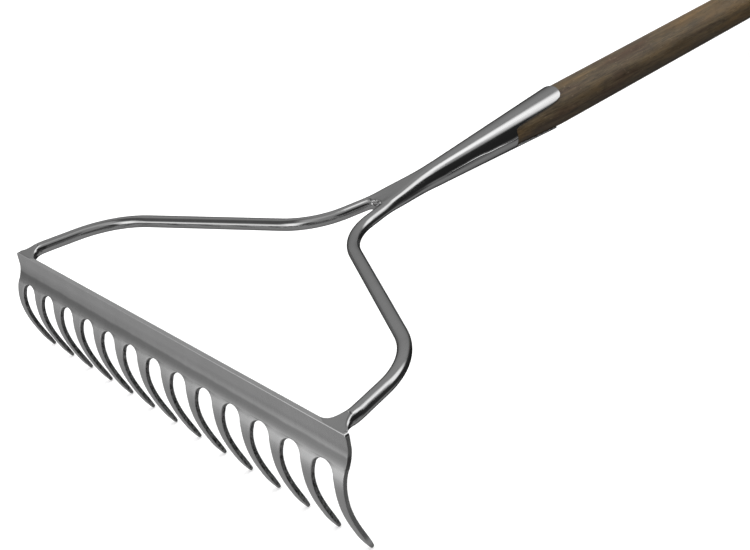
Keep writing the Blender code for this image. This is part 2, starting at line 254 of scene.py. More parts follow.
def place(name, bm, materials, replaced=(), weighted=False):
    """Turn a bmesh in millimetres into a piece that rides on the rake."""
    mesh = bpy.data.meshes.new(name)
    bm.to_mesh(mesh)
    bm.free()
    mesh.transform(TOOL @ Matrix.Scale(MM, 4))
    mesh.shade_smooth()
    for material in materials:
        mesh.materials.append(material)
    obj = bpy.data.objects.new(name, mesh)
    bpy.context.scene.collection.objects.link(obj)
    if weighted:
        modifier = obj.modifiers.new("even_normals", "WEIGHTED_NORMAL")
        modifier.keep_sharp = True
        modifier.weight = 80
    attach(obj, "root")
    if replaced:
        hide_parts(*replaced)
    return obj


def grid_faces(bm, low, high, closed=False):
    """Quads between two rows of vertices."""
    count = len(low)
    for k in range(count if closed else count - 1):
        after = (k + 1) % count
        bm.faces.new((low[k], low[after], high[after], high[k]))


def loft(bm, rings):
    """Skin a list of rings of points and cap both ends."""
    made = [[bm.verts.new(point) for point in ring] for ring in rings]
    for low, high in zip(made, made[1:]):
        grid_faces(bm, low, high, closed=True)
    bm.faces.new(made[0][::-1])
    bm.faces.new(made[-1])
    bmesh.ops.recalc_face_normals(bm, faces=bm.faces)


def share_between(value, start, end):
    """0 up to the start, growing evenly to 1 at the end."""
    return np.clip((value - start) / (end - start), 0, 1)


def smooth_interp(x, table):
    """Values at x on the smooth curve through a table of (x, value) pairs."""
    table = np.array(table, float)
    xs, ys = table[:, 0], table[:, 1]
    slopes = np.gradient(ys, xs)
    k = np.clip(np.searchsorted(xs, x) - 1, 0, len(xs) - 2)
    width = xs[k + 1] - xs[k]
    t = np.clip((x - xs[k]) / width, 0, 1)
    return ((2 * t ** 3 - 3 * t ** 2 + 1) * ys[k] + (t ** 3 - 2 * t ** 2 + t) * width * slopes[k]
            + (3 * t ** 2 - 2 * t ** 3) * ys[k + 1] + (t ** 3 - t ** 2) * width * slopes[k + 1])


def distance_to_line(points, line):
    """Distance from each 2-D point to a polyline."""
    run = np.diff(line, axis=0)
    moving = np.linalg.norm(run, axis=1) > 1e-6
    nearest = np.full(len(points), np.inf)
    for a, along in zip(line[:-1][moving], run[moving]):
        t = np.clip(((points - a) @ along) / (along @ along), 0, 1)
        nearest = np.minimum(nearest, np.linalg.norm(points - a - t[:, None] * along, axis=1))
    return nearest


def edge_relief(distance, radius):
    """How far a face falls back this near to an edge of that radius."""
    inward = np.clip(radius - distance, 0, radius)
    return radius - np.sqrt(np.maximum(radius ** 2 - inward ** 2, 0))


def smooth_min(a, b, reach):
    """The nearer of two distances, with the crease filled over this reach."""
    h = np.clip(1 - np.abs(a - b) / reach, 0, 1)
    return np.minimum(a, b) - h * h * reach / 4


def smooth_max(a, b, reach):
    """The further of two distances, with the edge rounded over this reach."""
    return -smooth_min(-a, -b, reach)


def slope_of(field, points):
    """The field's gradient at each point, by differences."""
    small = 0.01
    steps = np.eye(3) * small
    return np.stack([field(points + s) - field(points - s) for s in steps], axis=1) / (2 * small)


def cells_crossed(inside):
    """Which cells of a lattice have corners on both sides of the surface."""
    counts = np.array(inside.shape)
    total = np.zeros(counts - 1, int)
    for i in (0, 1):
        for j in (0, 1):
            for k in (0, 1):
                total += inside[i:counts[0] - 1 + i, j:counts[1] - 1 + j, k:counts[2] - 1 + k]
    return (total > 0) & (total < 8)


def quads_across(inside, index):
    """One quad round each lattice edge that the surface cuts, through the four cells that share it."""
    counts = inside.shape
    quads = []
    for axis in range(3):
        first, second = [k for k in range(3) if k != axis]
        cut = [slice(None)] * 3
        shifted = [slice(None)] * 3
        cut[axis], shifted[axis] = slice(None, -1), slice(1, None)
        here, there = inside[tuple(cut)], inside[tuple(shifted)]
        edges = np.argwhere(here != there)
        edges = edges[(edges[:, first] > 0) & (edges[:, second] > 0)]
        edges = edges[(edges[:, first] < counts[first] - 1) & (edges[:, second] < counts[second] - 1)]
        corners = []
        for a, b in ((-1, -1), (0, -1), (0, 0), (-1, 0)):
            cell = edges.copy()
            cell[:, first] += a
            cell[:, second] += b
            corners.append(index[cell[:, 0], cell[:, 1], cell[:, 2]])
        quad = np.stack(corners, axis=1)
        outward = here[edges[:, 0], edges[:, 1], edges[:, 2]]
        if axis == 1:
            outward = ~outward
        quad[~outward] = quad[~outward][:, ::-1]
        quads.append(quad)
    return np.concatenate(quads)


def settle(field, points, quads, step, rounds=4, pushes=3, least_slope=0.2):
    """Even out the points over their neighbours, and push them back onto the surface each time."""
    ends = np.concatenate([quads[:, [0, 1]], quads[:, [1, 2]], quads[:, [2, 3]], quads[:, [3, 0]]])
    for _ in range(rounds):
        mean = np.zeros_like(points)
        near = np.zeros(len(points))
        np.add.at(mean, ends[:, 0], points[ends[:, 1]])
        np.add.at(near, ends[:, 0], 1)
        points = np.where(near[:, None] > 0, mean / np.maximum(near, 1)[:, None], points)
        for _ in range(pushes):
            slope = slope_of(field, points)
            push = field(points) / np.maximum((slope ** 2).sum(axis=1), least_slope)
            points -= np.clip(push, -step, step)[:, None] * slope
    return points


def surface_of(field, low, high, step):
    """A bmesh over the zero level of a field of distances that is negative inside."""
    low = np.array(low, float)
    counts = np.ceil((np.array(high) - low) / step).astype(int) + 1
    axes = [low[k] + step * np.arange(counts[k]) for k in range(3)]
    lattice = np.stack(np.meshgrid(*axes, indexing="ij"), axis=-1)
    inside = (field(lattice.reshape(-1, 3)) < 0).reshape(counts)
    crossed = cells_crossed(inside)
    cells = np.argwhere(crossed)
    index = np.full(crossed.shape, -1)
    index[crossed] = np.arange(len(cells))
    quads = quads_across(inside, index)
    points = settle(field, low + step * (cells + 0.5), quads, step)
    bm = bmesh.new()
    verts = [bm.verts.new(point) for point in points]
    for quad in quads:
        if len(set(quad)) == 4:
            bm.faces.new([verts[k] for k in quad])
    bmesh.ops.recalc_face_normals(bm, faces=bm.faces)
    return bm


# ---------------------------------------------------------------- tine bar

def section_line():
    """The plate's front face in section as dense points, with the distance run at each."""
    points = [np.zeros(2)]
    for span in SECTION:
        made = interpolate_bezier(*[Vector(point) for point in span], SECTION_STEPS)
        points += [np.array(point[:2]) for point in made]
    points = np.array(points)
    steps = np.linalg.norm(np.diff(points, axis=0), axis=1)
    kept = np.concatenate([[True], steps > 1e-6])
    points = points[kept]
    run = np.concatenate([[0], np.cumsum(np.linalg.norm(np.diff(points, axis=0), axis=1))])
    return points, run


SECTION_POINTS, SECTION_RUN = section_line()
TINE_LENGTH = SECTION_RUN[-1]


def front_at(run):
    """(Y, Z) on the front face this far down the plate."""
    beyond = run - np.clip(run, 0, TINE_LENGTH)
    y = np.interp(run, SECTION_RUN, SECTION_POINTS[:, 0])
    z = np.interp(run, SECTION_RUN, SECTION_POINTS[:, 1])
    last = SECTION_POINTS[-1] - SECTION_POINTS[-2]
    last = last / np.linalg.norm(last)
    first = SECTION_POINTS[1] / np.linalg.norm(SECTION_POINTS[1])
    way = np.where((run < 0)[:, None], first, last)
    return np.stack([y, z], axis=1) + way * beyond[:, None]


def through_at(run):
    """The direction through the plate, from front to back, this far down it."""
    along = front_at(run + 0.5) - front_at(run - 0.5)
    along /= np.linalg.norm(along, axis=1)[:, None]
    return np.stack([-along[:, 1], along[:, 0]], axis=1)


def tip_share(run):
    """0 above a tine's tapered tip, growing to 1 at its very end."""
    return np.clip(1 - (TINE_LENGTH - run) / TIP_TAPER, 0, 1) ** 2


def tine_half(run):
    """Half the width of the metal about a tine's middle."""
    depth = run - WEB_HEIGHT
    arch = TINE_PITCH / 2 - ARCH_HALF * np.sqrt(1 - (1 - np.clip(depth / ARCH_DEPTH, 0, 1)) ** 2)
    share = np.clip((depth - ARCH_DEPTH) / (TINE_LENGTH - WEB_HEIGHT - ARCH_DEPTH), 0, 1)
    root = TINE_PITCH / 2 - ARCH_HALF
    blade = TIP_HALF + (root - TIP_HALF) * (1 - share) ** TINE_FLARE
    width = np.where(depth < ARCH_DEPTH, arch, blade) * (1 - (1 - TIP_END) * tip_share(run))
    nose = np.clip((TINE_LENGTH - run) / NOSE, 0, 1)
    return width * np.sqrt(1 - (1 - nose) ** 2)


def outer_half(run):
    """Distance from an end tine's middle to the bar's end, with its rounded upper corner."""
    margin = (HEAD_WIDTH - (TINE_COUNT - 1) * TINE_PITCH) / 2
    corner = CORNER * (1 - np.sqrt(1 - (1 - np.clip(run / CORNER, 0, 1)) ** 2))
    return np.minimum(tine_half(run), margin - corner)


def fallen_back(degrees):
    """Share of its radius that an arc has fallen back after this many degrees."""
    return 1 - np.cos(np.radians(degrees))


def plate_rows():
    """Places of the rows down the plate, close together wherever it bends, narrows or is rounded."""
    arch_end = WEB_HEIGHT + ARCH_DEPTH
    taper_start = TINE_LENGTH - TIP_TAPER
    nose_start = TINE_LENGTH - NOSE
    round_share = fallen_back(QUARTER_ROUND)
    flat_band = [0.9, 1.6, 3.2, 5.0, 6.8, 8.5]
    rows = list(EDGE * round_share) + flat_band
    rows += list(np.arange(9.2, WEB_HEIGHT - EDGE, 0.8))
    rows += list(WEB_HEIGHT - EDGE * round_share[::-1])
    rows += list(WEB_HEIGHT + ARCH_DEPTH * fallen_back(np.arange(6, 91, 6)))
    rows += list(np.linspace(arch_end, taper_start, 26)[1:])
    rows += list(np.linspace(taper_start, nose_start, 11)[1:])
    rows += list(TINE_LENGTH - NOSE * (1 - np.sin(np.radians([20, 40, 55, 68, 80]))))
    return np.array(rows)


def column_shares(left, right):
    """Places of the columns across one row, from 0 to 1, gathered at both edges."""
    width = left + right
    edge = min(EDGE, 0.3 * width)
    near = edge * fallen_back(QUARTER_ROUND)
    inner = np.linspace(edge, width - edge, 6)[1:-1]
    return np.concatenate([near, inner, width - near[::-1]]) / width


def build_tine_bar(materials):
    """One formed plate with fourteen tines, rounded along every edge."""
    bm = bmesh.new()
    rows = plate_rows()
    web = np.linspace(0, WEB_HEIGHT, 60)
    arch = WEB_HEIGHT + ARCH_DEPTH * fallen_back(np.arange(1, 90, 1))
    blade = np.linspace(WEB_HEIGHT + ARCH_DEPTH, TINE_LENGTH, 200)
    whole_run = np.concatenate([web, arch, blade])
    free_run = whole_run[whole_run >= WEB_HEIGHT]
    radius = EDGE + (TIP_EDGE - EDGE) * tip_share(rows)
    front_line, through = front_at(rows), through_at(rows)
    fall = TIP_RECESS * tip_share(rows)
    for tine in range(TINE_COUNT):
        middle = (tine - (TINE_COUNT - 1) / 2) * TINE_PITCH
        first, last = tine == 0, tine == TINE_COUNT - 1
        left = (outer_half if first else tine_half)(rows)
        right = (outer_half if last else tine_half)(rows)
        xs = np.array([column_shares(a, b) * (a + b) - a for a, b in zip(left, right)])
        flat = np.stack([xs, np.repeat(rows[:, None], xs.shape[1], axis=1)], axis=-1).reshape(-1, 2)
        near = flat[:, 1].copy()
        for sign, outer in ((-1, first), (1, last)):
            run = whole_run if outer else free_run
            half = (outer_half if outer else tine_half)(run)
            near = np.minimum(near, distance_to_line(flat, np.stack([sign * half, run], axis=1)))
        near = near.reshape(xs.shape)
        relief = edge_relief(near, radius[:, None])
        front, back = [], []
        for k in range(len(rows)):
            row_front, row_back = [], []
            for x, drop in zip(xs[k], relief[k]):
                for row, depth in ((row_front, fall[k] + drop), (row_back, PLATE - drop)):
                    y, z = front_line[k] + through[k] * depth
                    row.append(bm.verts.new((middle + x, y, z - BAR_DROP)))
            front.append(row_front)
            back.append(row_back)
        for k in range(len(rows) - 1):
            grid_faces(bm, front[k], front[k + 1])
            grid_faces(bm, back[k + 1], back[k])
            free = rows[k] >= WEB_HEIGHT - 1e-9     # below the web the tines stand apart
            for side, outer in ((0, first), (-1, last)):
                if outer or free:
                    wall = (front[k][side], front[k + 1][side], back[k + 1][side], back[k][side])
                    bm.faces.new(wall).material_index = 0 if outer else 1
        grid_faces(bm, back[0], front[0])
        grid_faces(bm, front[-1], back[-1])
    bmesh.ops.remove_doubles(bm, verts=bm.verts, dist=1e-4)
    bmesh.ops.recalc_face_normals(bm, faces=bm.faces)
    return place("formed_tine_bar", bm, materials, ["tine_bar"], weighted=True)


# ---------------------------------------------------------------- bow

def bow_line(step=math.radians(2.5)):
    """The right rod's centre line in plan, with each corner turned into an arc."""
    corners = [Vector(corner) for corner in BOW_CORNERS]
    points = [corners[0]]
    for before, corner, after, radius in zip(corners, corners[1:], corners[2:], BOW_RADII):
        back = (before - corner).normalized()
        on = (after - corner).normalized()
        turn = math.pi - back.angle(on)
        centre = corner + (back + on).normalized() * (radius / math.cos(turn / 2))
        spoke = corner + back * (radius * math.tan(turn / 2)) - centre
        sign = 1 if back.x * on.y - back.y * on.x < 0 else -1
        count = max(2, math.ceil(turn / step))
        for k in range(count + 1):
            turned = Matrix.Rotation(sign * turn * k / count, 2) @ spoke
            points.append(centre + turned)
    points.append(corners[-1])
    return np.array([tuple(point) for point in points])


BOW_LINE = bow_line()


def rod_field(points, side):
    """Distance to one rod's surface; side is +1 for the right rod."""
    flat = points[:, :2] * np.array([side, 1])
    reach = distance_to_line(flat, BOW_LINE)
    return np.hypot(reach, points[:, 2] + BOW_DROP) - ROD_RADIUS


def build_bow_arm(name, side, material, replaced):
    """One bent rod, from just behind the bar to just inside the neck."""
    end = BOW_LINE[-2] + (BOW_LINE[-1] - BOW_LINE[-2]) * ROD_TAIL
    line = np.vstack([BOW_LINE[:-1], end])
    rings = []
    for k in range(1, len(line)):
        if line[k][1] < ROD_START:
            continue
        before, after = line[k - 1], line[min(k + 1, len(line) - 1)]
        along = (after - before) / np.linalg.norm(after - before)
        across = np.array([along[1], -along[0]])
        ring = []
        for turn in np.linspace(0, 2 * math.pi, ROD_SIDES, endpoint=False):
            x, y = line[k] + across * ROD_RADIUS * math.cos(turn)
            ring.append((side * x, y, ROD_RADIUS * math.sin(turn) - BOW_DROP))
        rings.append(ring)
    bm = bmesh.new()
    loft(bm, rings)
    return place(name, bm, [material], [replaced])


def box_field(points, low, high, radius):
    """Distance to a box with rounded edges."""
    low, high = np.array(low, float), np.array(high, float)
    q = np.abs(points - (low + high) / 2) - (high - low) / 2 + radius
    outside = np.linalg.norm(np.maximum(q, 0), axis=1)
    return outside + np.minimum(q.max(axis=1), 0) - radius


def build_foot(name, side, material):
    """The flared end of a rod, ground flush with the bar's top edge."""
    def field(points):
        mirrored = points * np.array([side, 1, 1])
        x, y, z = mirrored.T
        rod = rod_field(mirrored, 1) - np.interp(y, FOOT_SINKS_AT, FOOT_PROUD)
        root = box_field(mirrored, *FOOT_ROOT, FOOT_ROOT_EDGE)
        body = smooth_min(rod, root, np.interp(x, FOOT_FILLET_AT, FOOT_FILLETS))
        top = z - (FOOT_TOP + FOOT_TOP_SLOPE * np.maximum(y - FOOT_TOP_START, 0))
        under = UNDERCUT[0] * x + UNDERCUT[1] * z - UNDERCUT[2]
        cuts = ((x - FOOT_SIDE, 0.6), (top, 1.1), (under, 1.0), (FOOT_FRONT - y, 0.5), (y - FOOT_TAIL, 0.5))
        for cut, rounding in cuts:
            body = smooth_max(body, cut, rounding)
        return body

    ends = sorted((side * 148.0, side * 177.0))
    bm = surface_of(field, (ends[0], -0.5, -8.5), (ends[1], 34.5, 3.0), FOOT_STEP)
    return place(name, bm, [material])


# ---------------------------------------------------------------- neck

def neck_section(points):
    """Distance to the neck's flat-topped section."""
    y = points[:, 1]
    width, height, corner = [smooth_interp(y, [(row[0], row[k]) for row in NECK]) for k in (1, 2, 3)]
    qx = np.abs(points[:, 0]) - width + corner
    qz = np.abs(points[:, 2] - socket_centre(y)) - height + corner
    outside = np.hypot(np.maximum(qx, 0), np.maximum(qz, 0))
    return outside + np.minimum(np.maximum(qx, qz), 0) - corner


def neck_field(points):
    """Distance to the neck: the two rods and the web between them, passing into its own section."""
    y = points[:, 1]
    proud = NECK_PROUD[0] + (NECK_PROUD[1] - NECK_PROUD[0]) * share_between(y, *NECK_SINKS_AT)
    rods = np.minimum(rod_field(points, 1), rod_field(points, -1)) - proud
    rods = smooth_min(rods, box_field(points, *WEB, WEB_EDGE), WEB_FILLET)
    t = share_between(y, *MERGE)
    share = t * t * (3 - 2 * t)
    body = rods * (1 - share) + neck_section(points) * share
    return smooth_max(smooth_max(body, NECK_START - y, 0.5), y - NECK_END, 0.3)


def build_neck(material):
    """The neck, with the short stretches of both rods that run into it."""
    bm = surface_of(neck_field, (-18, 148, -12), (18, 241, 8.5), NECK_STEP)
    return place("welded_neck", bm, [material], ["neck"])


def build_weld(material):
    """The rounded bead of weld that closes the crotch between the rods."""
    x, y, z = WELD_CENTRE
    start, end = WELD_TURN
    rings = []
    for degrees in np.linspace(start, end, 30):
        turn = math.radians(degrees)
        grown = min((degrees - start + WELD_END) / WELD_FADE[0], (end - degrees + WELD_END) / WELD_FADE[1])
        thick = WELD_BEAD * min(1.0, grown)
        ring = []
        for around in np.linspace(0, 2 * math.pi, 20, endpoint=False):
            reach = WELD_ARC + thick * math.cos(around)
            ring.append((x + reach * math.cos(turn), y + WELD_FLATTENING * reach * math.sin(turn),
                         z + thick * math.sin(around)))
        rings.append(ring)
    bm = bmesh.new()
    loft(bm, rings)
    return place("weld_bead", bm, [material])


# ---------------------------------------------------------------- socket

def along_socket(y, at_start, at_end):
    """A value that changes evenly along the socket."""
    return at_start + (at_end - at_start) * share_between(y, SOCKET_START, SOCKET_END)


def socket_radius(y):
    return along_socket(y, SOCKET_R_START, SOCKET_R_END)


def socket_wall(y):
    return along_socket(y, WALL_START, WALL_END)


def socket_centre(y):
    """Height of the socket's middle, which runs from the bow's level up to the shaft's axis."""
    return along_socket(y, -BOW_DROP, 0.0)


def strap_columns():
    """Degrees round a strap from one seam to the other, gathered at the seams and the tongue's sides."""
    first_half = np.concatenate([np.linspace(0, 4.5, 8), np.arange(7, 22, 2.5), np.arange(22, 50, 0.75),
                                 np.arange(50, 90, 4)])
    return np.concatenate([first_half, [90], 180 - first_half[::-1]])


def build_strap(name, edge, up, materials, replaced):
    """A half shell with its tongue, as a sheet of even thickness with rounded edges.

    The lower strap is bevelled where it meets the upper one, and the sides of its tongue are painted dark,
    a painted shadow against the wood.
    """
    lower = up < 0
    nominal = [a for a, _ in edge] + [180 - a for a, _ in edge[-2::-1]]
    ends = [b for _, b in edge] + [b for _, b in edge[-2::-1]]
    degrees = strap_columns()
    even = 0.93              # share of the strap's length with evenly spaced rows
    gathered = even + (1 - even) * np.sin(np.radians(np.arange(6, 91, 6)))
    rows = np.concatenate([np.linspace(0, even, 60), gathered])
    end_at = np.interp(degrees, nominal, ends)
    start = SOCKET_START - 0.1
    y = start + (end_at[:, None] - start) * rows[None, :]
    seam = smooth_interp(y, SEAM) * up + SEAM_GAP
    opened = seam + (90 - seam) * (90 - np.abs(degrees - 90))[:, None] / 90
    angle = np.radians(np.where(degrees[:, None] > 90, 180 - opened, opened))
    radius = socket_radius(y)
    unrolled = np.stack([angle * radius, y], axis=-1)
    rim = np.concatenate([unrolled[0, :], unrolled[:, -1], unrolled[-1, ::-1]])
    near = distance_to_line(unrolled.reshape(-1, 2), rim).reshape(y.shape)
    relief = edge_relief(near, SHELL_EDGE)
    outer_relief = relief
    if lower:
        from_seam = np.minimum(angle - angle[0], angle[-1] - angle) * radius
        bevel = np.clip(SEAM_BEVEL - from_seam, 0, None) * SEAM_BEVEL_SLOPE
        bevel *= share_between(y, SHELL_END + 0.5, SHELL_END - 0.5)
        outer_relief = np.maximum(relief * 0.4, bevel)
    on_tongue = y > SHELL_END + 3
    # the tongue's sides take the dark metal as a painted shadow against the wood
    painted_shadow_side = (near < PAINTED_SHADOW_SIDE) & on_tongue & lower
    bm = bmesh.new()
    shells = []
    for depth in (outer_relief, socket_wall(y) - relief):
        r = radius - depth
        x = r * np.cos(angle)
        z = up * r * np.sin(angle) + socket_centre(y)
        shells.append([[bm.verts.new(p) for p in zip(*columns)] for columns in zip(x, y, z)])
    outer, inner = shells
    dark = set()
    for shell in shells:
        for column, flags in zip(shell, painted_shadow_side):
            dark |= {vert for vert, flag in zip(column, flags) if flag}
    for k in range(len(outer) - 1):
        grid_faces(bm, outer[k], outer[k + 1])
        grid_faces(bm, inner[k + 1], inner[k])
    for k in (0, -1):
        grid_faces(bm, outer[k], inner[k])
    for k in (0, -1):
        grid_faces(bm, [column[k] for column in outer], [column[k] for column in inner])
    for face in bm.faces:
        # faces on the tongue's sides get the dark metal, a painted shadow
        face.material_index = int(all(vert in dark for vert in face.verts))
    bmesh.ops.recalc_face_normals(bm, faces=bm.faces)
    return place(name, bm, materials, [replaced], weighted=True)


# ---------------------------------------------------------------- shaft and screws

def build_shaft(material):
    """The round shaft, tapered under the straps and domed at its far end."""
    dome_start = SHAFT_END - SHAFT_DOME
    stations = []
    for y in [SHAFT_START, *np.linspace(250, 352, 18)]:
        stations.append((y, socket_radius(y) - socket_wall(y) - SHAFT_CLEARANCE, socket_centre(y)))
    for y in [FULL_ROUND, FULL_ROUND + 2, 380, *np.linspace(400, dome_start, 24)]:
        stations.append((y, SHAFT_RADIUS, 0.0))
    for degrees in (15, 30, 45, 60, 72, 82):
        turn = math.radians(degrees)
        stations.append((dome_start + SHAFT_DOME * math.sin(turn), SHAFT_RADIUS * math.cos(turn), 0.0))
    turns = np.linspace(0, 2 * math.pi, SHAFT_SIDES, endpoint=False)
    rings = []
    for y, radius, height in stations:
        rings.append([(radius * math.cos(t), y, radius * math.sin(t) + height) for t in turns])
    bm = bmesh.new()
    loft(bm, rings)
    return place("turned_ash_shaft", bm, [material], ["shaft"])


def build_screw(name, y, material, replaced):
    """A countersunk screw head with a cross recess, let into the lower strap."""
    strap = float(socket_radius(y))
    low = float(socket_centre(y)) - strap
    turns = np.radians(np.arange(0, 360, 7.5))
    bm = bmesh.new()

    def ring_at(radii, height):
        """A ring that bends with the strap's round underside."""
        ring = []
        for r, t in zip(radii, turns):
            x = r * math.cos(t)
            bent = strap - math.sqrt(strap ** 2 - x ** 2)
            ring.append((x, y - r * math.sin(t), low + height + bent))
        return ring

    rings = []
    rim, top = SCREW_HEAD_RADIUS, -0.1
    cone = [(2.4, rim / 2), (0.55, rim - 0.05), (0.05, rim), (top + 0.02, rim - 0.2), (top, rim - 0.6)]
    for height, radius in cone:
        rings.append(ring_at([radius] * len(turns), height))
    for radius_share, height in ((1.0, top), (0.96, top), (0.7, RECESS_DEPTH)):
        radii = []
        for t in turns:
            c, s = abs(math.cos(t)), abs(math.sin(t))
            to_arm = min(RECESS_ARM / max(c, s), RECESS_HALF / max(min(c, s), 1e-3))
            radii.append(max(to_arm, RECESS_HALF * 1.25) * radius_share)
        rings.append(ring_at(radii, height))
    loft(bm, rings)
    return place(name, bm, [material], [replaced])


# ---------------------------------------------------------------- materials

def new_material(name):
    """A material with its node tree and its Principled BSDF."""
    material = bpy.data.materials.new(name)
    material.use_nodes = True
    tree = material.node_tree
    return material, tree, tree.nodes["Principled BSDF"]


def add_node(tree, kind, inputs=None, **settings):
    """A new node, with its settings and with each input set to a value or linked to a socket."""
    made = tree.nodes.new(kind)
    for key, value in settings.items():
        setattr(made, key, value)
    for key, value in (inputs or {}).items():
        if isinstance(value, bpy.types.NodeSocket):
            tree.links.new(value, made.inputs[key])
        else:
            made.inputs[key].default_value = value
    return made


def stretched(tree, scale, offset=(0, 0, 0)):
    """The tool's own coordinates in metres, scaled."""
    where = add_node(tree, "ShaderNodeTexCoord").outputs["Object"]
    laid = add_node(tree, "ShaderNodeMapping", {"Vector": where, "Location": TOOL.translation,
                                                "Rotation": TOOL.to_euler()}, vector_type="TEXTURE")
    return add_node(tree, "ShaderNodeMapping", {"Vector": laid.outputs["Vector"], "Scale": scale,
                                                "Location": offset}).outputs["Vector"]


def noise(tree, vector, scale, detail, roughness):
    made = add_node(tree, "ShaderNodeTexNoise", {"Vector": vector, "Scale": scale, "Detail": detail,
                                                 "Roughness": roughness})
    return made.outputs["Fac"]


def ramp(tree, value, stops):
    """Colours at positions from 0 to 1."""
    made = add_node(tree, "ShaderNodeValToRGB", {"Fac": value})
    elements = made.color_ramp.elements
    elements.remove(elements[-1])
    for position, colour in stops:
        element = elements[0] if position == stops[0][0] else elements.new(position)
        element.position = position
        element.color = (*colour, 1.0) if isinstance(colour, tuple) else (colour, colour, colour, 1.0)
    return made.outputs["Color"]


def spread(tree, value, low, high):
    """A noise value, which lies about 0.5, carried onto a range."""
    made = add_node(tree, "ShaderNodeMapRange", {"Value": value, "From Min": 0.3, "From Max": 0.7,
                                                 "To Min": low, "To Max": high})
    return made.outputs["Result"]


def mix(tree, share, a, b, how="MIX"):
    """Two colours mixed."""
    made = add_node(tree, "ShaderNodeMix", data_type="RGBA", blend_type=how)
    for key, value in (("Factor", share), ("A", a), ("B", b)):
        socket = next(s for s in made.inputs if s.name == key and s.enabled)
        if isinstance(value, bpy.types.NodeSocket):
            tree.links.new(value, socket)
        else:
            socket.default_value = value
    return next(s for s in made.outputs if s.enabled)


def mix_value(tree, share, a, b):
    """Two numbers mixed."""
    made = add_node(tree, "ShaderNodeMix", data_type="FLOAT")
    for socket, value in zip(made.inputs, (share, None, a, b)):
        if isinstance(value, bpy.types.NodeSocket):
            tree.links.new(value, socket)
        elif value is not None:
            socket.default_value = value
    return made.outputs["Result"]


def bump(tree, height, strength, distance):
    """A normal roughened by a height; the distance is in metres."""
    made = add_node(tree, "ShaderNodeBump", {"Height": height, "Strength": strength,
                                             "Distance": distance})
    return made.outputs["Normal"]


def paint_light_by_height(tree, colour, stops):
    """A colour multiplied by a grey that changes with height, which paints bands of shade and highlight:
    stops are (millimetres, grey).
    """
    low, high = stops[0][0] * MM, stops[-1][0] * MM
    along = add_node(tree, "ShaderNodeSeparateXYZ", {"Vector": stretched(tree, (1, 1, 1))})
    wander = noise(tree, stretched(tree, (1, 0, 0)), scale=45.0, detail=3.0, roughness=0.6)
    offset = spread(tree, wander, -PAINTED_LIGHT_WANDER * MM, PAINTED_LIGHT_WANDER * MM)
    height = add_node(tree, "ShaderNodeMath", {0: along.outputs["Z"], 1: offset}, operation="ADD")
    share = add_node(tree, "ShaderNodeMapRange", {"Value": height.outputs[0], "From Min": low,
                                                  "From Max": high})
    greys = [((level * MM - low) / (high - low), grey) for level, grey in stops]
    return mix(tree, 1.0, colour, ramp(tree, share.outputs["Result"], greys), "MULTIPLY")


def steel(name, tones, roughness, grain, grain_scale, painted_light=None, edge=1.0):
    """Stainless steel: grain is the stretch of its polishing marks, and grain_scale their fineness;
    painted_light paints bands of shade and highlight by height.
    """
    material, tree, shader = new_material(name)
    dark, light = tones
    lines = noise(tree, stretched(tree, grain), grain_scale, detail=4.0, roughness=0.6)
    clouds = noise(tree, stretched(tree, (1, 1, 1)), scale=38.0, detail=3.0, roughness=0.55)
    tone = ramp(tree, clouds, [(0.3, dark), (0.7, light)])
    colour = mix(tree, 0.3, tone, ramp(tree, lines, [(0.35, dark), (0.65, light)]))
    # bands of painted shade and painted highlight laid onto the colour by height
    if painted_light:
        colour = paint_light_by_height(tree, colour, painted_light)
    tree.links.new(colour, shader.inputs["Base Color"])
    tree.links.new(spread(tree, lines, *roughness), shader.inputs["Roughness"])
    tree.links.new(bump(tree, lines, strength=0.12, distance=0.00002), shader.inputs["Normal"])
    shader.inputs["Metallic"].default_value = 1.0
    shader.inputs["Specular Tint"].default_value = (edge, edge, edge, 1.0)
    return material


def sheared_steel_and_painted_shadow():
    """The walls of the stamped gaps: dark, rough, torn metal; on the sides of the lower tongue the same
    dark is a painted shadow against the wood.
    """
    material, tree, shader = new_material("sheared_steel_and_painted_shadow")
    specks = noise(tree, stretched(tree, (1, 1, 0.6)), scale=620.0, detail=5.0, roughness=0.7)
    tone = ramp(tree, specks, [(0.38, 0.06), (0.5, 0.26), (0.68, 0.55)])
    tree.links.new(tone, shader.inputs["Base Color"])
    tree.links.new(spread(tree, specks, 0.28, 0.5), shader.inputs["Roughness"])
    tree.links.new(bump(tree, specks, strength=0.5, distance=0.0002), shader.inputs["Normal"])
    shader.inputs["Metallic"].default_value = 1.0
    return material


